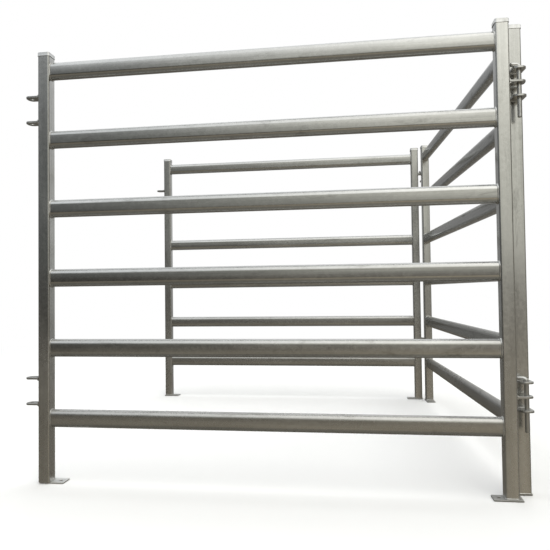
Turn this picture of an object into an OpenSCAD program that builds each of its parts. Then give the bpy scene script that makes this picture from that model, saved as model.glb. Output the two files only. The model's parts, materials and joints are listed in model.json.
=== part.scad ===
// Corner of a portable cattle yard: three identical six-rail steel panels, joined at two
// corners by welded lugs and drop pins. Each panel can swing on its pins like a gate.
// Millimetres, +Z up. The ground is z = 0, and the origin is under the middle of the
// bounding box. The front panel lies along X and its outer face looks along -Y.

/* [Panel] */
// Height of a panel, ground to cap
panel_height = 1800; // [1700:10:2100]
// Distance between the centres of a panel's two posts
post_spacing = 1844; // [1200:1:2600]
// Height of the middle of the top rail
top_rail_height = 1721; // [1700:1:1740]
// Drop from one rail to the next
rail_pitch = 291.2; // [270:0.1:310]

/* [Corners] */
// Angle inside the front corner, between the front and side panels
front_corner_angle = 86.4; // [84:0.1:150]
// Angle inside the rear corner, between the side and back panels
rear_corner_angle = 93.6; // [84:0.1:150]

/* [Tube] */
// Outside width of a square post
post_width = 50; // [40:1:60]
// Wall thickness of a post
post_wall = 2.5; // [1.6:0.1:4]
// Outside radius of a post's corners
post_corner = 6; // [4:0.5:10]
// Height of a rail's flat-sided oval section
rail_height = 73; // [50:1:80]
// Depth of a rail's flat-sided oval section
rail_depth = 40; // [25:1:44]
// Wall thickness of a rail
rail_wall = 2; // [1.6:0.1:3]

/* [Caps and feet] */
// How far a cap stands out past the sides of the post
cap_overhang = 2; // [1:0.5:3]
// Height of a cap, top to the edge of its skirt
cap_height = 18; // [10:1:25]
// Thickness of a cap's top
cap_top = 3; // [2:0.5:4]
// Thickness of a foot plate
foot_thickness = 6; // [4:1:10]
// Length of a foot plate, along the panel
foot_length = 106; // [100:1:140]
// Width of a foot plate
foot_width = 56; // [54:1:58]
// Radius of the peg hole in a foot plate
peg_hole_r = 7; // [4:0.5:9]
// Distance from the peg hole's middle to the end of the foot plate
peg_hole_inset = 23; // [14:1:26]

/* [Lugs] */
// Gap from a post's face to the axis of its drop pins
pin_gap = 38; // [36:1:60]
// How far a lug reaches past the pin axis
lug_reach = 22; // [18:1:24]
// Width of a lug
lug_width = 50; // [45:1:50]
// Thickness of a lug
lug_thickness = 8; // [6:1:12]
// Radius of the corners at a lug's free end
lug_corner = 20; // [5:1:22]
// Radius of the hole in a lug
lug_hole_r = 9; // [8.5:0.5:12]
// Distance between the two lugs of a pair, middle to middle
lug_pair_spacing = 106; // [60:1:140]
// Height of the middle of the upper lugs
upper_lug_height = 1558; // [1520:1:1600]
// Height of the middle of the lower lugs
lower_lug_height = 378; // [360:1:460]

/* [Drop pins] */
// Radius of a drop pin
pin_r = 8; // [6:0.5:8]
// Length of a drop pin below the upper lug's top face
pin_length = 190; // [150:5:230]
// Radius of the bend at the top of a drop pin, on its centre line
pin_bend_r = 12; // [12:1:16]
// Reach of a drop pin's bent leg from the pin axis
pin_leg_reach = 31; // [24:1:31]

/* [Hidden] */
SIDES = ["front", "side", "back"];
ENDS = ["left", "right"];
LEVELS = ["upper", "lower"];
CORNERS = ["front_corner", "rear_corner"];
RAIL_COUNT = 6;

// Left and right are as seen from outside the yard. A left end carries pairs of lugs and a
// right end carries single lugs, so the right end of one panel pins to the left end of the next.
pin_spacing = post_spacing + post_width + 2 * pin_gap;
post_offset = pin_gap + post_width / 2;
rail_length = post_spacing - post_width;
cap_width = post_width + 2 * cap_overhang;
lug_heights = [upper_lug_height, lower_lug_height];

// Heading of each panel, from its left end to its right end
side_heading = 180 - front_corner_angle;
back_heading = side_heading + 180 - rear_corner_angle;
headings = [0, side_heading, back_heading];

// Pins of the two corners, measured from the front corner
rear_pin = pin_spacing * [cos(side_heading), sin(side_heading)];
left_pins = [[-pin_spacing, 0], [0, 0], rear_pin];

// How far the front panel's right foot strays out of the yard
front_feet_stray = 8;

// Middle of the bounding box, measured from the front corner's pins
low_x = min(-pin_spacing, rear_pin[0] + pin_spacing * cos(back_heading)) - lug_reach;
high_x = lug_corner + (lug_width / 2 - lug_corner) * sin(side_heading);
low_y = -foot_width / 2 - front_feet_stray;
high_y = rear_pin[1] + foot_width / 2;
middle = [(low_x + high_x) / 2, (low_y + high_y) / 2];

// The feet sit unevenly under the posts. For each panel's left and right foot: how far it reaches
// past the post away from the panel, and how far it strays into the yard
foot_places = [[[0, 10], [12, -front_feet_stray]], [[0, 0], [2, 0]], [[2, 0], [4, 0]]];

// Heading of each drop pin's bent leg: front upper and lower, rear upper and lower
leg_headings = [[188, 160], [200, 320]];

bend_sink = 2;
pin_tip = 2;
cap_clearance = 0.2;
curve_fn = 48;
galvanised = [0.66, 0.67, 0.64];
weathered = [0.52, 0.52, 0.48];

// Placing

// Puts a panel whose left pins are on the Z axis, and which runs along +X, in its place
module at_panel(side) {
    translate([left_pins[side][0] - middle[0], left_pins[side][1] - middle[1], 0])
        rotate([0, 0, headings[side]])
            children();
}

// Puts a post-end piece, made round the pin axis with its panel along +X, at either end
module at_end(side, end) {
    at_panel(side)
        translate([end * pin_spacing, 0, 0])
            mirror([end, 0, 0])
                children();
}

// Outlines

module rounded_rectangle(length, width, r) {
    square([length - 2 * r, width], center = true);
    square([length, width - 2 * r], center = true);
    for (x = [-1, 1], y = [-1, 1])
        translate([x * (length / 2 - r), y * (width / 2 - r)])
            circle(r = r, $fn = curve_fn);
}

module flat_sided_oval(height, depth) {
    square([depth, height - depth], center = true);
    for (y = [-1, 1])
        translate([0, y * (height - depth) / 2])
            circle(d = depth, $fn = curve_fn);
}

// A plate square to the post, round at its free end, with the pin hole at the origin
module lug_outline() {
    difference() {
        union() {
            translate([lug_corner - lug_reach, -lug_width / 2])
                square([pin_gap + lug_reach - lug_corner, lug_width]);
            translate([-lug_reach, lug_corner - lug_width / 2])
                square([lug_corner + 1, lug_width - 2 * lug_corner]);
            for (y = [-1, 1])
                translate([lug_corner - lug_reach, y * (lug_width / 2 - lug_corner)])
                    circle(r = lug_corner, $fn = curve_fn);
        }
        circle(r = lug_hole_r, $fn = curve_fn);
    }
}

// Pieces

// An oval tube from post to post, number 1 at the top
module rail(side, number) {
    color(weathered)
        at_panel(side)
            translate([post_offset + post_width / 2, 0, top_rail_height - (number - 1) * rail_pitch])
                rotate([90, 0, 90])
                    linear_extrude(rail_length)
                        difference() {
                            flat_sided_oval(rail_height, rail_depth);
                            flat_sided_oval(rail_height - 2 * rail_wall, rail_depth - 2 * rail_wall);
                        }
}

// A square tube standing on its foot plate
module post(side, end) {
    inner = post_width - 2 * post_wall;
    color(galvanised)
        at_end(side, end)
            translate([post_offset, 0, foot_thickness])
                linear_extrude(panel_height - cap_top - foot_thickness)
                    difference() {
                        rounded_rectangle(post_width, post_width, post_corner);
                        rounded_rectangle(inner, inner, post_corner - post_wall);
                    }
}

// A pressed lid with a skirt round the top of the post
module cap(side, end) {
    inner = post_width + 2 * cap_clearance;
    color(galvanised)
        at_end(side, end)
            translate([post_offset, 0, panel_height - cap_height])
                difference() {
                    linear_extrude(cap_height)
                        rounded_rectangle(cap_width, cap_width, post_corner + cap_overhang);
                    translate([0, 0, -1])
                        linear_extrude(cap_height - cap_top + 1)
                            rounded_rectangle(inner, inner, post_corner + cap_clearance);
                }
}

// A plate under the post, longer towards the panel, with a hole for a ground peg
module foot(side, end) {
    outward = foot_places[side][end][0];
    stray = foot_places[side][end][1];
    color(galvanised)
        at_end(side, end)
            translate([pin_gap - outward, stray, 0])
                linear_extrude(foot_thickness)
                    difference() {
                        translate([foot_length / 2, 0])
                            rounded_rectangle(foot_length, foot_width, 2);
                        translate([foot_length - peg_hole_inset, 0])
                            circle(r = peg_hole_r, $fn = curve_fn);
                    }
}

// One lug, with its middle at the given height
module lug(side, end, height) {
    color(galvanised)
        at_end(side, end)
            translate([0, 0, height - lug_thickness / 2])
                linear_extrude(lug_thickness)
                    lug_outline();
}

module lug_pair(side, height) {
    for (z = [-1, 1])
        lug(side, 0, height + z * lug_pair_spacing / 2);
}

// A round bar dropped through three lugs, bent over at the top so that it can't fall through
module pin(corner, level) {
    place = left_pins[corner + 1] - middle;
    upper_face = lug_heights[level] + (lug_pair_spacing + lug_thickness) / 2;
    shank = pin_length - bend_sink;
    color(weathered)
        translate([place[0], place[1], upper_face - bend_sink])
            rotate([0, 0, leg_headings[corner][level]]) {
                translate([0, 0, pin_tip - shank])
                    cylinder(r = pin_r, h = shank - pin_tip, $fn = curve_fn);
                translate([0, 0, -shank])
                    cylinder(r1 = pin_r - pin_tip, r2 = pin_r, h = pin_tip, $fn = curve_fn);
                translate([pin_bend_r, 0, 0])
                    rotate([90, 0, 0])
                        rotate([0, 0, 90])
                            rotate_extrude(angle = 90, $fn = curve_fn)
                                translate([pin_bend_r, 0])
                                    circle(r = pin_r, $fn = curve_fn);
                translate([pin_bend_r, 0, pin_bend_r])
                    rotate([0, 90, 0])
                        cylinder(r = pin_r, h = pin_leg_reach - pin_bend_r, $fn = curve_fn);
            }
}

// Nodes

for (s = [0:2]) {
    for (n = [1:RAIL_COUNT])
        rail(s, n);
    for (e = [0:1]) {
        post(s, e);
        cap(s, e);
        foot(s, e);
    }
    for (l = [0:1]) {
        lug_pair(s, lug_heights[l]);
        lug(s, 1, lug_heights[l]);
    }
}
for (c = [0:1], l = [0:1])
    pin(c, l);
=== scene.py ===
"""Looks of the yard corner: galvanised panels, weld beads, caps, feet, lugs and drop pins.

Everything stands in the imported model's frame, in metres. Each panel has a frame of its own:
X from its left pins to its right pins, -Y out of the yard, +Z up.
"""
import json
import math
import random

import bmesh
import bpy
from mathutils import Matrix, Vector

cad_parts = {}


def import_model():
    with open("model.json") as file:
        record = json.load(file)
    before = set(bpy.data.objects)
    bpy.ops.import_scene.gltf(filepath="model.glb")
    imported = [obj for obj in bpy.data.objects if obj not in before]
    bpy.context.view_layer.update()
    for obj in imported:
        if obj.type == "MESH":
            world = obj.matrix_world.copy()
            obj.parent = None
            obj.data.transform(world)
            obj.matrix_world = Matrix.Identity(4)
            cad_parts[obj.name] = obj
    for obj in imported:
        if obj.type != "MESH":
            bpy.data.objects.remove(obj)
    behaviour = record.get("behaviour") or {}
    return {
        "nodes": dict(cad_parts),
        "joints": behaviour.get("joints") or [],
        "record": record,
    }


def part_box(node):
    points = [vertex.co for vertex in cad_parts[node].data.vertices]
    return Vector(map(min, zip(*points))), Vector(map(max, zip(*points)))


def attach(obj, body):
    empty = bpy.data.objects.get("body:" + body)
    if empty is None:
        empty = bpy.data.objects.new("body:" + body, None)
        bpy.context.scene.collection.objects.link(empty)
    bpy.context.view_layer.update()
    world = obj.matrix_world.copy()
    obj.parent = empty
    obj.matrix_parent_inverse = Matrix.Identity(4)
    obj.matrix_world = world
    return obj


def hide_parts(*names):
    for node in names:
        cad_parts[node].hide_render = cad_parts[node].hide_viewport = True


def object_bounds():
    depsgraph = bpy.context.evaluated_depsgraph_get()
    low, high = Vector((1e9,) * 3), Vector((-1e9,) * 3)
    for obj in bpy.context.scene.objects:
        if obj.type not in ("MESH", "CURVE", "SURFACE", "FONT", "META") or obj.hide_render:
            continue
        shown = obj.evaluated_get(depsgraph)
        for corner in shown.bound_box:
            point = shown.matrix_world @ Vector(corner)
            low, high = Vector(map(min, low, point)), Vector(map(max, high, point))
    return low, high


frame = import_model()
CAD_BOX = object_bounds()
RECORD = frame["record"]
MM = 0.001

# ---------------------------------------------------------------- places, from the frame

JOINT_POS = {j["name"]: Vector(j["pos_m"]) for j in frame["joints"] if j["type"] == "hinge"}
MOUNT_POS = {m["name"]: Vector(m["pos_m"]) for m in RECORD["mounts"]}
FRONT_CORNER = JOINT_POS["side_panel_swing"]
REAR_CORNER = JOINT_POS["back_panel_swing"]
PIN_LINES = {
    "front": (MOUNT_POS["front_free_end_upper_top_lug"], FRONT_CORNER),
    "side": (FRONT_CORNER, REAR_CORNER),
    "back": (REAR_CORNER, MOUNT_POS["back_free_end_upper_lug"]),
}
SIDES = tuple(PIN_LINES)
ENDS = ("left", "right")
LEVELS = ("upper", "lower")
RAILS = range(1, 7)


def size(node):
    low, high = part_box(node)
    return high - low


def middle(node):
    low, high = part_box(node)
    return (low + high) / 2


def panel_frame(side):
    """The panel's own frame, with its origin on the ground under its left pins."""
    left, right = PIN_LINES[side]
    along = (right - left) * Vector((1, 1, 0))
    x = along.normalized()
    y = Vector((0, 0, 1)).cross(x)
    turn = Matrix((x, y, (0, 0, 1))).transposed().to_4x4()
    return Matrix.Translation((left.x, left.y, 0)) @ turn


PIN_SPACING = ((FRONT_CORNER - REAR_CORNER) * Vector((1, 1, 0))).length


def end_frame(side, end):
    """A frame at one end's pins, with X pointing into the panel at either end."""
    place = panel_frame(side)
    if end == "right":
        flip = Matrix.Diagonal((-1, 1, 1, 1))
        place = place @ Matrix.Translation((PIN_SPACING, 0, 0)) @ flip
    return place


def local_box(node, place):
    """A CAD node's lowest and highest corner in the frame place."""
    back = place.inverted()
    points = [back @ v.co for v in frame["nodes"][node].data.vertices]
    low = Vector([min(p[i] for p in points) for i in range(3)])
    high = Vector([max(p[i] for p in points) for i in range(3)])
    return low, high


POST = size("front_left_post").x
POST_X = middle("front_left_post").x - PIN_LINES["front"][0].x
POST_CORNER = 6 * MM
RAIL_H = size("front_rail_1").z
RAIL_D = size("front_rail_1").y
LUG_T = size("back_right_upper_lug").z
LUG_W = size("back_right_upper_lug").y
LUG_L = size("back_right_upper_lug").x
PIN_GAP = POST_X - POST / 2
LUG_REACH = LUG_L - PIN_GAP
LUG_CORNER = 20 * MM
LUG_HOLE = 9 * MM
RAIL_LOW = middle("front_rail_6").z
RAIL_PITCH = middle("front_rail_5").z - RAIL_LOW
FOOT_T = size("front_left_foot").z
CAP_W = size("front_left_cap").x
CAP_H = size("front_left_cap").z
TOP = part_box("front_left_cap")[1].z

# ---------------------------------------------------------------- mesh helpers


def make_object(name, bm, material, smooth_angle=40):
    bmesh.ops.remove_doubles(bm, verts=bm.verts, dist=1e-6)
    bmesh.ops.recalc_face_normals(bm, faces=bm.faces)
    mesh = bpy.data.meshes.new(name)
    bm.to_mesh(mesh)
    bm.free()
    obj = bpy.data.objects.new(name, mesh)
    bpy.context.scene.collection.objects.link(obj)
    mesh.materials.append(material)
    mesh.shade_smooth()
    mesh.set_sharp_from_angle(angle=math.radians(smooth_angle))
    return obj


def ring(bm, points, place):
    return [bm.verts.new(place @ Vector(p)) for p in points]


def bridge(bm, a, b):
    """Quads between two closed rings of the same length."""
    n = len(a)
    for i in range(n):
        j = (i + 1) % n
        bm.faces.new((a[i], a[j], b[j], b[i]))


def rounded_square(half, r, z, steps=6):
    """Points round a square with rounded corners, anticlockwise."""
    points = []
    for quarter in range(4):
        turn = math.pi / 2 * quarter
        cx = (half - r) * (1 if quarter in (0, 3) else -1)
        cy = (half - r) * (1 if quarter in (0, 1) else -1)
        for k in range(steps + 1):
            a = turn + math.pi / 2 * k / steps
            points.append((cx + r * math.cos(a), cy + r * math.sin(a), z))
    return points


def outline_normals(points):
    """Outward unit normals, mitred, of a closed anticlockwise outline in XY."""
    normals = []
    n = len(points)
    for i in range(n):
        before = Vector(points[i]) - Vector(points[i - 1])
        after = Vector(points[(i + 1) % n]) - Vector(points[i])
        a = Vector((before.y, -before.x)).normalized()
        b = Vector((after.y, -after.x)).normalized()
        mid = (a + b).normalized()
        normals.append(mid / max(0.5, mid.dot(a)))
    return normals


def inset(points, by):
    return [(p[0] - n.x * by, p[1] - n.y * by) for p, n in zip(points, outline_normals(points))]


def plate(bm, outline, hole, low, high, bevel, place):
    """A flat plate with bevelled edges and one round hole, from z = low to z = high."""
    levels = ((low, bevel), (low + bevel, 0), (high - bevel, 0), (high, bevel))
    caps = []
    for points, sign in ((outline, 1), (hole, -1)):
        rings = []
        for z, by in levels:
            shape = inset(points, by * sign)
            rings.append(ring(bm, [(x, y, z) for x, y in shape], place))
        for a, b in zip(rings, rings[1:]):
            bridge(bm, a, b)
        caps.append((rings[0], rings[-1]))
    for which in (0, 1):
        edges = []
        for pair in caps:
            loop = pair[which]
            edges += [bm.edges.get((loop[i], loop[i - 1])) for i in range(len(loop))]
        bmesh.ops.triangle_fill(bm, use_beauty=True, edges=edges)


def circle_points(cx, cy, r, count=32):
    return [
        (cx + r * math.cos(2 * math.pi * k / count), cy + r * math.sin(2 * math.pi * k / count))
        for k in range(count)
    ]


def sweep(bm, path, closed, place, radius, sides=8):
    """A tube along path. radius is one number, or a number for each point of the path."""
    points = [Vector(p) for p in path]
    n = len(points)
    radii = radius if isinstance(radius, list) else [radius] * n
    rings = []
    normal = None
    for i, p in enumerate(points):
        if closed:
            tangent = points[(i + 1) % n] - points[i - 1]
        else:
            tangent = points[min(i + 1, n - 1)] - points[max(i - 1, 0)]
        tangent.normalize()
        if normal is None:
            normal = tangent.orthogonal()
        normal = (normal - tangent * normal.dot(tangent)).normalized()
        side = tangent.cross(normal)
        loop = []
        for k in range(sides):
            a = 2 * math.pi * k / sides
            loop.append(p + normal * (math.cos(a) * radii[i]) + side * (math.sin(a) * radii[i]))
        rings.append(ring(bm, loop, place))
    for a, b in zip(rings, rings[1:]):
        bridge(bm, a, b)
    if closed:
        join_closest(bm, rings[-1], rings[0])
    else:
        bm.faces.new(rings[0])
        bm.faces.new(rings[-1])


def join_closest(bm, a, b):
    """Bridges two rings whose first vertices may have drifted apart round the tube."""
    n = len(a)
    shift = min(range(n), key=lambda s: (a[0].co - b[s].co).length)
    bridge(bm, a, [b[(k + shift) % n] for k in range(n)])


# ---------------------------------------------------------------- materials


class Nodes:
    """A short way to write a node tree."""

    def __init__(self, tree):
        self.tree = tree
        tree.nodes.clear()

    def add(self, kind, inputs=None, **settings):
        node = self.tree.nodes.new(kind)
        for key, value in settings.items():
            setattr(node, key, value)
        for key, value in (inputs or {}).items():
            if isinstance(value, bpy.types.NodeSocket):
                self.tree.links.new(value, node.inputs[key])
            else:
                node.inputs[key].default_value = value
        return node

    def math(self, operation, a, b=0.0, clamp=False):
        inputs = {0: a, 1: b}
        return self.add("ShaderNodeMath", inputs, operation=operation, use_clamp=clamp).outputs[0]

    def spread(self, value, low, high, to_low=0.0, to_high=1.0):
        """Maps low..high to to_low..to_high, smoothly and clamped."""
        inputs = {"Value": value, "From Min": low, "From Max": high, "To Min": to_low, "To Max": to_high}
        return self.add("ShaderNodeMapRange", inputs, interpolation_type="SMOOTHSTEP").outputs[0]

    def mix(self, factor, a, b, blend="MIX"):
        node = self.add("ShaderNodeMix", data_type="RGBA", blend_type=blend)
        for socket, value in ((0, factor), (6, a), (7, b)):
            if isinstance(value, bpy.types.NodeSocket):
                self.tree.links.new(value, node.inputs[socket])
            else:
                node.inputs[socket].default_value = value
        return node.outputs[2]

    def noise(self, vector, scale, detail=4.0, roughness=0.55, distortion=0.0):
        inputs = {
            "Vector": vector,
            "Scale": scale,
            "Detail": detail,
            "Roughness": roughness,
            "Distortion": distortion,
        }
        return self.add("ShaderNodeTexNoise", inputs).outputs[0]

    def stretch(self, vector, scale, turn=0.0):
        inputs = {"Vector": vector, "Scale": scale, "Rotation": (0, 0, turn)}
        return self.add("ShaderNodeMapping", inputs).outputs[0]


ZINC = (0.50, 0.505, 0.495, 1)
ZINC_BRIGHT = (0.66, 0.665, 0.65, 1)
ZINC_PALE = (0.80, 0.80, 0.785, 1)
ZINC_DARK = (0.34, 0.34, 0.325, 1)
# The brown that the zinc darkens towards near the bottom
LOW_DOWN_BROWN = (0.225, 0.20, 0.16, 1)
# Painted shade in the corners where pieces meet, mixed with grime
SHADE_AND_GRIME = (0.12, 0.105, 0.085, 1)
HEAT = (0.36, 0.33, 0.29, 1)


# The slope of a rail's flats where the rounds begin
CROWN = math.radians(3.0)

# How far each layer is drawn out: "x" along a rail, "z" down a post, "" on a small plate
BAND_SCALES = {"x": (0.9, 30, 30), "z": (22, 22, 0.7), "": (9, 9, 9)}
LINE_SCALES = {"x": (2.6, 150, 150), "z": (120, 120, 2.2), "": (45, 45, 45)}
RUN_SCALES = {"x": (1.7, 9, 9), "z": (8, 8, 1.4), "": (6, 6, 6)}
STAIN_SCALES = {"x": (7, 22, 22), "z": (20, 20, 6), "": (16, 16, 16)}


def crown(n, height):
    """The slight bulge of a rail's flats, in mm."""
    edge = (RAIL_H - RAIL_D) / 2 / MM
    off = n.math("PINGPONG", n.math("SUBTRACT", height, RAIL_LOW), RAIL_PITCH / 2)
    off = n.math("DIVIDE", off, MM)
    near = n.math("MINIMUM", off, edge)
    bulge = n.math("MULTIPLY", near, n.math("SUBTRACT", n.math("MULTIPLY", off, 2.0), near))
    return n.math("MULTIPLY", bulge, -math.tan(CROWN) / (2 * edge))


def crystals(n, place, turned):
    """A random number for each zinc crystal: cells about a centimetre across, bent out of true."""
    wobble = n.add("ShaderNodeTexNoise", {"Vector": place, "Scale": 60.0, "Detail": 2.0}).outputs[1]
    inputs = {0: wobble, 1: (0.010, 0.010, 0.010), 2: turned}
    bent = n.add("ShaderNodeVectorMath", inputs, operation="MULTIPLY_ADD")
    cells = n.add("ShaderNodeTexVoronoi", {"Vector": bent.outputs[0], "Scale": 85.0}, feature="F1")
    return n.add("ShaderNodeSeparateColor", {"Color": cells.outputs["Color"]}).outputs[0]


def clean_colour(n, band, line, run, stain, crystal, tone, soil):
    """Grey zinc with soft bands, pale runs, thin drawn lines, dark stains and faint crystals."""
    colour = n.mix(n.spread(band, 0.30, 0.70), ZINC, ZINC_BRIGHT)
    colour = n.mix(n.spread(run, 0.54, 0.74, 0.0, 0.45), colour, ZINC_PALE)
    colour = n.mix(n.spread(line, 0.36, 0.75, 0.0, 0.12), colour, ZINC_PALE)
    colour = n.mix(n.spread(stain, 0.55, 0.74, 0.0, 0.65 * soil), colour, ZINC_DARK)
    shade = n.math("MULTIPLY", n.spread(crystal, 0.0, 1.0, 0.97, 1.03), tone)
    grey = n.add("ShaderNodeCombineColor", {0: shade, 1: shade, 2: shade}).outputs[0]
    return n.mix(1.0, colour, grey, "MULTIPLY")


def low_down_darkening(n, height, run, soil):
    """How much a place is darkened, browned and dulled towards the bottom: only low down, with a ragged
    upper edge.
    """
    ragged = n.math("ADD", height, n.math("MULTIPLY", n.math("SUBTRACT", run, 0.5), 0.7))
    return n.spread(ragged, 1.00, 0.15, 0.0, 0.24 * soil)


def soiled_and_shaded_colour(n, place, colour, low_down, stain, welded):
    """Darker and browner towards the bottom, painted shade mixed with grime in the corners, heat stain
    round a weld.
    """
    # Darker and browner towards the bottom
    colour = n.mix(low_down, colour, LOW_DOWN_BROWN)
    # Painted shade: darker where ambient occlusion finds a face close by, only where the stain noise is
    # high, so it is grime and painted shade both
    corner = n.add("ShaderNodeAmbientOcclusion", {"Distance": 0.016}, samples=6, only_local=False)
    corner_shade_and_grime = n.math("MULTIPLY", n.spread(corner.outputs["AO"], 0.70, 0.20), n.spread(stain, 0.3, 0.6))
    colour = n.mix(n.math("MULTIPLY", corner_shade_and_grime, 0.6), colour, SHADE_AND_GRIME)
    if welded:
        burnt = n.spread(n.noise(place, 38.0, 3.0), 0.42, 0.62, 0.0, welded)
        colour = n.mix(burnt, colour, HEAT)
    return colour


def galvanised(name, along, heading=0.0, tone=1.0, rough=0.19, soil=1.0, welded=0.0):
    """Hot-dip galvanised steel, satin, with crystals that only just show.

    along is "x" for streaks that run along a rail, "z" for streaks that run down a post, or
    "" for a small plate. heading turns the texture with its panel.
    """
    material = bpy.data.materials.new(name)
    material.use_nodes = True
    n = Nodes(material.node_tree)
    place = n.add("ShaderNodeTexCoord").outputs["Object"]
    turned = n.stretch(place, (1, 1, 1), -heading)
    height = n.add("ShaderNodeSeparateXYZ", {"Vector": place}).outputs["Z"]
    crystal = crystals(n, place, turned)
    band = n.noise(n.stretch(turned, BAND_SCALES[along]), 1.0, 4.0, 0.55)
    line = n.noise(n.stretch(turned, LINE_SCALES[along]), 1.0, 3.0, 0.5)
    run = n.noise(n.stretch(turned, RUN_SCALES[along]), 1.0, 5.0, 0.6, 0.4)
    stain = n.noise(n.stretch(turned, STAIN_SCALES[along]), 1.0, 5.0, 0.65, 0.3)
    low_down = low_down_darkening(n, height, run, soil)
    colour = clean_colour(n, band, line, run, stain, crystal, tone, soil)
    colour = soiled_and_shaded_colour(n, place, colour, low_down, stain, welded)

    roughness = n.math("ADD", n.spread(crystal, 0.0, 1.0, -0.015, 0.015), rough)
    roughness = n.math("ADD", roughness, n.spread(run, 0.40, 0.75, -0.02, 0.07))
    roughness = n.math("ADD", roughness, n.math("MULTIPLY", low_down, 0.35), clamp=True)
    grain = n.math("MULTIPLY", n.noise(turned, 900.0, 2.0, 0.5), 0.03)
    relief = n.math("MULTIPLY", n.math("ADD", grain, band), 0.06)
    if along == "x":
        relief = n.math("ADD", relief, crown(n, height))
    bump = n.add("ShaderNodeBump", {"Strength": 1.0, "Distance": MM, "Height": relief})
    metal = n.math("SUBTRACT", 1.0, n.math("MULTIPLY", low_down, 0.30))
    surface = n.add(
        "ShaderNodeBsdfPrincipled",
        {
            "Base Color": colour,
            "Metallic": metal,
            "Roughness": roughness,
            "Normal": bump.outputs[0],
        },
    )
    n.add("ShaderNodeOutputMaterial", {"Surface": surface.outputs[0]})
    return material


HEADINGS = {s: math.atan2(panel_frame(s)[1][0], panel_frame(s)[0][0]) for s in SIDES}
# Tone and soil of each panel's rails: the side panel's are the most stained
RAIL_LOOKS = {"front": (0.91, 1.0), "side": (0.87, 1.4), "back": (0.91, 1.0)}
# Tone and soil of a foot plate: the front left one is clean and painted lighter, as a painted reflection
# of the bright sky; the others are painted darker, as painted shade from the ground's contact shadow
LIT_FOOT = (1.45, 0.3)
SHADED_FOOT = (0.80, 0.8)


def foot_metal(side, end):
    # Painted highlight on the front left foot, painted shade on the others
    tone, soil = LIT_FOOT if (side, end) == ("front", "left") else SHADED_FOOT
    return galvanised(f"foot_zinc_{side}_{end}", "", HEADINGS[side], tone, 0.50, soil)


RAIL_METAL = {}
for side, (tone, soil) in RAIL_LOOKS.items():
    RAIL_METAL[side] = galvanised(f"rail_zinc_{side}", "x", HEADINGS[side], tone, soil=soil)
POST_METAL = {s: galvanised(f"post_zinc_{s}", "z", HEADINGS[s]) for s in SIDES}
CAP_METAL = {s: galvanised(f"cap_zinc_{s}", "", HEADINGS[s], tone=0.96, rough=0.28) for s in SIDES}
LUG_METAL = {s: galvanised(f"lug_zinc_{s}", "", HEADINGS[s], tone=0.92, rough=0.30) for s in SIDES}
FOOT_METAL = {(s, e): foot_metal(s, e) for s in SIDES for e in ENDS}
WELD_METAL = galvanised("weld_zinc", "", tone=1.15, rough=0.34, soil=0.7, welded=0.35)
PIN_METAL = galvanised("pin_zinc", "z", tone=0.95, rough=0.30, soil=0.5)

# ---------------------------------------------------------------- the CAD tubes


def set_material(node, material):
    mesh = frame["nodes"][node].data
    mesh.materials.clear()
    mesh.materials.append(material)


for side in SIDES:
    for number in RAILS:
        set_material(f"{side}_rail_{number}", RAIL_METAL[side])
    for end in ENDS:
        set_material(f"{side}_{end}_post", POST_METAL[side])

# ---------------------------------------------------------------- caps

CAP_EDGE = 4 * MM
CAP_CROWN = 1.2 * MM
CAP_LIP = 0.5 * MM
CAP_WALL = 1.8 * MM
CAP_INSIDE = 6 * MM
LIP_HEIGHT = 2 * MM
LIP_TURN = 1 * MM
LEAST_CORNER = 0.2 * MM
EDGE_STEPS = 5
CROWN_STEPS = 5


def cap(side, end):
    """A pressed lid: a skirt with a turned lip, a rounded top edge and a slight crown."""
    bm = bmesh.new()
    place = end_frame(side, end) @ Matrix.Translation((POST_X, 0, 0))
    half = CAP_W / 2
    corner = POST_CORNER + (CAP_W - POST) / 2
    low = TOP - CAP_H
    edge_top = TOP - CAP_CROWN
    skirt = half - CAP_LIP
    rings = [(half - CAP_WALL, low + CAP_INSIDE), (half - CAP_WALL, low), (half, low)]
    rings += [(half, low + LIP_HEIGHT), (skirt, low + LIP_HEIGHT + LIP_TURN)]
    for k in range(EDGE_STEPS + 1):
        a = math.pi / 2 * k / EDGE_STEPS
        rings.append((skirt - CAP_EDGE * (1 - math.cos(a)), edge_top - CAP_EDGE * (1 - math.sin(a))))
    for k in range(1, CROWN_STEPS):
        t = k / CROWN_STEPS
        width = (skirt - CAP_EDGE) * (1 - t)
        rings.append((width, edge_top + CAP_CROWN * (1 - (1 - t) ** 2)))
    loops = []
    for width, z in rings:
        r = max(LEAST_CORNER, min(corner - (half - width), width))
        loops.append(ring(bm, rounded_square(width, r, z), place))
    for a, b in zip(loops, loops[1:]):
        bridge(bm, a, b)
    bm.faces.new(loops[-1])
    name = f"{side}_{end}_pressed_cap"
    piece = make_object(name, bm, CAP_METAL[side])
    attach(piece, f"{side}_panel")
    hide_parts(f"{side}_{end}_cap")


# ---------------------------------------------------------------- feet

FOOT_BEVEL = 0.8 * MM
FOOT_CORNER = 2 * MM
PEG_HOLE = 7 * MM


def foot(side, end):
    """A cut plate under the post, with a peg hole in its inward end."""
    place = end_frame(side, end)
    low, high = local_box(f"{side}_{end}_foot", place)
    r = FOOT_CORNER
    outline = []
    corners = (
        (high.x - r, low.y + r, -90),
        (high.x - r, high.y - r, 0),
        (low.x + r, high.y - r, 90),
        (low.x + r, low.y + r, 180),
    )
    for cx, cy, turn in corners:
        for k in range(4):
            a = math.radians(turn + 30 * k)
            outline.append((cx + r * math.cos(a), cy + r * math.sin(a)))
    peg = place.inverted() @ MOUNT_POS[f"{side}_{end}_peg_hole"]
    bm = bmesh.new()
    plate(bm, outline, circle_points(peg.x, peg.y, PEG_HOLE), 0.0, FOOT_T, FOOT_BEVEL, place)
    piece = make_object(f"{side}_{end}_foot_plate", bm, FOOT_METAL[side, end], smooth_angle=30)
    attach(piece, f"{side}_panel")
    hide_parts(f"{side}_{end}_foot")


# ---------------------------------------------------------------- lugs

LUG_BEVEL = 0.9 * MM


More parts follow.
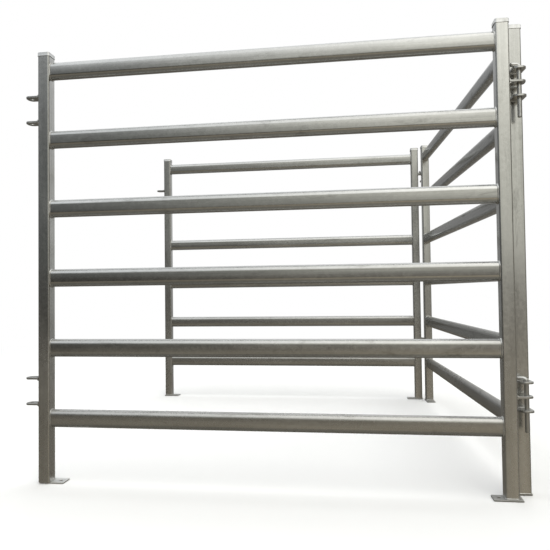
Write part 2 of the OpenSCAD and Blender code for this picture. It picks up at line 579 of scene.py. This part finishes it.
def lug_outline():
    """Square to the post and round at the free end, anticlockwise, with the pin at the origin."""
    outline = [(PIN_GAP, -LUG_W / 2), (PIN_GAP, LUG_W / 2)]
    cx = LUG_CORNER - LUG_REACH
    for cy, turn in ((LUG_W / 2 - LUG_CORNER, 90), (LUG_CORNER - LUG_W / 2, 180)):
        for k in range(10):
            a = math.radians(turn + 10 * k)
            outline.append((cx + LUG_CORNER * math.cos(a), cy + LUG_CORNER * math.sin(a)))
    return outline


def lugs(side, end, level):
    node = f"{side}_{end}_{level}_" + ("lugs" if end == "left" else "lug")
    low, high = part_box(node)
    bottoms = [low.z] if end == "right" else [low.z, high.z - LUG_T]
    bm = bmesh.new()
    place = end_frame(side, end)
    hole = circle_points(0, 0, LUG_HOLE)
    for z in bottoms:
        plate(bm, lug_outline(), hole, z, z + LUG_T, LUG_BEVEL, place)
    piece = make_object(node.replace("_lug", "_hinge_lug"), bm, LUG_METAL[side], smooth_angle=30)
    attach(piece, f"{side}_panel")
    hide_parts(node)
    return bottoms


# ---------------------------------------------------------------- weld beads

# Radii of the beads, the length of one ripple and the spacing of a bead's rings
BEAD = 2.9 * MM
LUG_BEAD = 4.6 * MM
FOOT_BEAD = 3.0 * MM
RIPPLE = 3.2 * MM
BEAD_STEP = 1.1 * MM
# How far a bead's middle stands off the face that it joins, and off the piece's edge
BEAD_OFF_POST = 0.6 * MM
BEAD_OFF_EDGE = 0.4 * MM
# How far a lug's bead stops short of the lug's side, and a foot's bead lies inside the post's
LUG_BEAD_SHORT = 3 * MM
FOOT_BEAD_IN = 1.2 * MM


def bead_radii(points, rng, size=BEAD):
    """A radius for each point of a stack-of-coins bead: small ripples on a slow wander."""
    phase = rng.uniform(0, 6.28)
    wander = rng.uniform(60, 110)
    radii = []
    travelled = 0.0
    for i, p in enumerate(points):
        if i:
            travelled += (Vector(p) - Vector(points[i - 1])).length
        coin = abs(math.sin(math.pi * travelled / RIPPLE + phase))
        radii.append(size * (0.90 + 0.08 * math.sin(travelled * wander + phase) + 0.10 * coin))
    return radii


def dense(points):
    """The closed outline with points no further apart than BEAD_STEP."""
    out = []
    n = len(points)
    for i in range(n):
        a = Vector(points[i])
        b = Vector(points[(i + 1) % n])
        count = max(1, math.ceil((b - a).length / BEAD_STEP))
        out += [a.lerp(b, k / count) for k in range(count)]
    return out


def rail_loop(x, z):
    """The outline of a rail's end against the post, in the panel's frame."""
    r = RAIL_D / 2 + BEAD_OFF_EDGE
    points = []
    for cz, turn in ((z + (RAIL_H - RAIL_D) / 2, 0), (z - (RAIL_H - RAIL_D) / 2, 180)):
        for k in range(17):
            a = math.radians(turn + 180 * k / 16)
            points.append((x, r * math.cos(a), cz + r * math.sin(a)))
    return points


def rail_welds(side, rng):
    bm = bmesh.new()
    place = panel_frame(side)
    start = POST_X + POST / 2 + BEAD_OFF_POST
    for number in RAILS:
        z = middle(f"{side}_rail_{number}").z
        for x in (start, PIN_SPACING - start):
            loop = dense(rail_loop(x, z))
            sweep(bm, loop, True, place, bead_radii(loop, rng))
    finish_weld(bm, side, "rail")


def lug_welds(side, rng, heights):
    bm = bmesh.new()
    for end, bottoms in heights.items():
        place = end_frame(side, end)
        x = PIN_GAP - BEAD_OFF_POST
        y = LUG_W / 2 - LUG_BEAD_SHORT
        for z in bottoms:
            for edge_z in (z - BEAD_OFF_EDGE, z + LUG_T + BEAD_OFF_EDGE):
                count = math.ceil(2 * y / BEAD_STEP)
                line = [(x, -y + 2 * y * k / count, edge_z) for k in range(count + 1)]
                sweep(bm, line, False, place, bead_radii(line, rng, LUG_BEAD))
    finish_weld(bm, side, "lug")


def foot_welds(side, rng):
    """Round each post's bottom edge, as far as the foot plate reaches under it."""
    bm = bmesh.new()
    for end in ENDS:
        place = end_frame(side, end)
        low, high = local_box(f"{side}_{end}_foot", place)
        square = rounded_square(POST / 2 - FOOT_BEAD_IN, POST_CORNER, FOOT_T + BEAD_OFF_POST)
        loop = dense([(x + POST_X, y, z) for x, y, z in square])
        held = [low.y + BEAD < p[1] < high.y - BEAD and low.x < p[0] for p in loop]
        if all(held):
            sweep(bm, loop, True, place, bead_radii(loop, rng, FOOT_BEAD))
            continue
        n = len(loop)
        start = next(i for i in range(n) if held[i] and not held[i - 1])
        run = []
        while held[(start + len(run)) % n]:
            run.append(loop[(start + len(run)) % n])
        sweep(bm, run, False, place, bead_radii(run, rng, FOOT_BEAD))
    finish_weld(bm, side, "foot")


def finish_weld(bm, side, kind):
    piece = make_object(f"{side}_{kind}_welds", bm, WELD_METAL, smooth_angle=80)
    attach(piece, f"{side}_panel")


# ---------------------------------------------------------------- drop pins

PIN_R = 8 * MM
PIN_BEND = 12 * MM
PIN_CHAMFER = 2 * MM
LEG_CHAMFER = 1.5 * MM
PIN_SIDES = 28
BEND_STEPS = 8
TIP_MARGIN = 0.1 * MM


def drop_pin(node):
    """A round bar with a bent top leg, its ends dressed to a small chamfer."""
    corner = FRONT_CORNER if node.startswith("front") else REAR_CORNER
    upright = Matrix.Translation((corner.x, corner.y, 0))
    points = [upright.inverted() @ v.co for v in frame["nodes"][node].data.vertices]
    low = min(p.z for p in points)
    high = max(p.z for p in points)
    spread = max(math.hypot(p.x, p.y) for p in points)
    reach = math.sqrt(spread**2 - PIN_R**2)
    tip = [p for p in points if math.hypot(p.x, p.y) > reach - TIP_MARGIN]
    heading = math.atan2(sum(p.y for p in tip), sum(p.x for p in tip))
    leg_z = high - PIN_R
    path = [(0, 0, low), (0, 0, low + PIN_CHAMFER), (0, 0, (low + leg_z) / 2)]
    for k in range(BEND_STEPS + 1):
        a = math.pi / 2 * k / BEND_STEPS
        path.append((PIN_BEND * (1 - math.cos(a)), 0, leg_z - PIN_BEND * (1 - math.sin(a))))
    path += [(reach - LEG_CHAMFER, 0, leg_z), (reach, 0, leg_z)]
    radii = [PIN_R - PIN_CHAMFER] + [PIN_R] * (len(path) - 2) + [PIN_R - LEG_CHAMFER]
    bm = bmesh.new()
    sweep(bm, path, False, upright @ Matrix.Rotation(heading, 4, "Z"), radii, PIN_SIDES)
    piece = make_object(node + "_bar", bm, PIN_METAL, smooth_angle=35)
    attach(piece, node)
    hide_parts(node)


# ---------------------------------------------------------------- building it all

WELD_SEED = 6

rng = random.Random(WELD_SEED)
for side in SIDES:
    heights = {end: [] for end in ENDS}
    for end in ENDS:
        cap(side, end)
        foot(side, end)
        for level in LEVELS:
            heights[end] += lugs(side, end, level)
    rail_welds(side, rng)
    lug_welds(side, rng, heights)
    foot_welds(side, rng)
for corner_name in ("front", "rear"):
    for level in LEVELS:
        drop_pin(f"{corner_name}_corner_{level}_pin")

# ---------------------------------------------------------------- floor, light and camera

FLOOR_SIZE = 60.0
# The floor lies just under the feet, so that the two faces don't meet
FLOOR_DROP = 0.5 * MM


def floor():
    """A plain pale floor that fades to white far from the yard, so that no horizon shows."""
    bm = bmesh.new()
    half = FLOOR_SIZE / 2
    corners = ring(bm, [(-half, -half, 0), (half, -half, 0), (half, half, 0), (-half, half, 0)], Matrix())
    bm.faces.new(corners)
    material = bpy.data.materials.new("pale_floor")
    material.use_nodes = True
    n = Nodes(material.node_tree)
    place = n.add("ShaderNodeTexCoord").outputs["Object"]
    away = n.add("ShaderNodeVectorMath", {0: place}, operation="LENGTH").outputs["Value"]
    paint = n.add("ShaderNodeBsdfDiffuse", {"Color": (0.88, 0.88, 0.87, 1)})
    glow = n.add("ShaderNodeEmission", {"Color": (1, 1, 1, 1), "Strength": 1.0})
    inputs = {0: n.spread(away, 2.2, 6.0), 1: paint.outputs[0], 2: glow.outputs[0]}
    blend = n.add("ShaderNodeMixShader", inputs)
    n.add("ShaderNodeOutputMaterial", {"Surface": blend.outputs[0]})
    obj = make_object("floor", bm, material)
    obj.location.z = -FLOOR_DROP
    obj.visible_glossy = False
    obj.visible_diffuse = False


def world():
    """What the zinc mirrors: bright high up and to the front right, a dim horizon, brown earth."""
    scene_world = bpy.data.worlds.new("studio")
    bpy.context.scene.world = scene_world
    scene_world.use_nodes = True
    n = Nodes(scene_world.node_tree)
    way = n.add("ShaderNodeTexCoord").outputs["Generated"]
    split = n.add("ShaderNodeSeparateXYZ", {"Vector": way})
    x, y, z = split.outputs["X"], split.outputs["Y"], split.outputs["Z"]
    right = n.spread(x, -0.55, 0.30)
    behind = n.spread(y, -0.25, 0.35)

    def tone(left, front_right, far_left, far_right):
        """A colour of the surroundings, by compass quarter."""
        near = n.mix(right, (*left, 1), (*front_right, 1))
        far = n.mix(right, (*far_left, 1), (*far_right, 1))
        return n.mix(behind, near, far)

    down = tone((0.165, 0.158, 0.138), (0.255, 0.24, 0.205), (0.15, 0.14, 0.12), (0.17, 0.16, 0.135))
    earth = tone((0.225, 0.203, 0.162), (0.43, 0.378, 0.29), (0.13, 0.12, 0.10), (0.19, 0.175, 0.15))
    horizon = tone((0.040, 0.037, 0.032), (0.185, 0.17, 0.15), (0.14, 0.14, 0.135), (0.34, 0.34, 0.33))
    low_sky = tone((0.125, 0.13, 0.127), (0.69, 0.68, 0.61), (0.19, 0.19, 0.19), (0.56, 0.56, 0.55))
    mid_sky = tone((0.34, 0.35, 0.355), (1.32, 1.30, 1.19), (0.33, 0.34, 0.35), (0.75, 0.75, 0.75))
    high_sky = tone((0.98, 1.01, 1.04), (1.62, 1.60, 1.53), (1.0, 1.02, 1.04), (1.10, 1.11, 1.12))
    colour = n.mix(n.spread(z, -0.75, -0.32), down, earth)
    colour = n.mix(n.spread(z, -0.24, -0.06), colour, horizon)
    colour = n.mix(n.spread(z, -0.06, 0.12), colour, low_sky)
    colour = n.mix(n.spread(z, 0.20, 0.42), colour, mid_sky)
    colour = n.mix(n.spread(z, 0.36, 0.54), colour, high_sky)
    # A dark stand far round to the right, which draws the line down each right-hand corner
    stand = n.math("MULTIPLY", n.spread(x, 0.55, 0.82), n.spread(z, 0.55, 0.35))
    colour = n.mix(stand, colour, (0.20, 0.185, 0.155, 1))
    seen = n.add("ShaderNodeLightPath").outputs["Is Camera Ray"]
    colour = n.mix(seen, colour, (1.0, 1.0, 1.0, 1))
    background = n.add("ShaderNodeBackground", {"Color": colour, "Strength": 1.0})
    n.add("ShaderNodeOutputWorld", {"Surface": background.outputs[0]})


def area_light(name, place, target, width, power, colour):
    data = bpy.data.lights.new(name, "AREA")
    data.shape = "SQUARE"
    data.size = width
    data.energy = power
    data.color = colour
    obj = bpy.data.objects.new(name, data)
    obj.location = place
    obj.rotation_mode = "QUATERNION"
    obj.rotation_quaternion = (Vector(target) - Vector(place)).to_track_quat("-Z", "Y")
    obj.visible_glossy = False
    bpy.context.scene.collection.objects.link(obj)


def lights():
    centre = (CAD_BOX[0] + CAD_BOX[1]) / 2
    area_light("key", (3.0, -7.0, 4.2), centre, 4.0, 70.0, (1.0, 0.985, 0.93))
    area_light("top", (0.0, 0.5, 6.5), centre, 5.0, 130.0, (0.97, 0.98, 1.0))


# The lens and the height, turn and tilt of the camera, in front of the front right corner
CAMERA_FROM_CORNER = Vector((-0.6265, -2.2438, 0.7831))
CAMERA_YAW = -7.92
CAMERA_PITCH = 1.58
CAMERA_ROLL = 0.71
LENS = 37.4


def camera():
    data = bpy.data.cameras.new("camera")
    data.sensor_width = 36.0
    data.lens = LENS
    obj = bpy.data.objects.new("camera", data)
    yaw, pitch, roll = (math.radians(a) for a in (CAMERA_YAW, CAMERA_PITCH, CAMERA_ROLL))
    ahead = Vector((math.sin(yaw) * math.cos(pitch), math.cos(yaw) * math.cos(pitch), math.sin(pitch)))
    right = Vector((math.cos(yaw), -math.sin(yaw), 0))
    down = ahead.cross(right)
    rolled = right * math.cos(roll) + down * math.sin(roll)
    up = right * math.sin(roll) - down * math.cos(roll)
    turn = Matrix((rolled, up, -ahead)).transposed().to_4x4()
    place = Vector((FRONT_CORNER.x, FRONT_CORNER.y, 0)) + CAMERA_FROM_CORNER
    obj.matrix_world = Matrix.Translation(place) @ turn
    bpy.context.scene.collection.objects.link(obj)
    bpy.context.scene.camera = obj


floor()
world()
lights()
camera()
bpy.context.scene.view_settings.view_transform = "Standard"
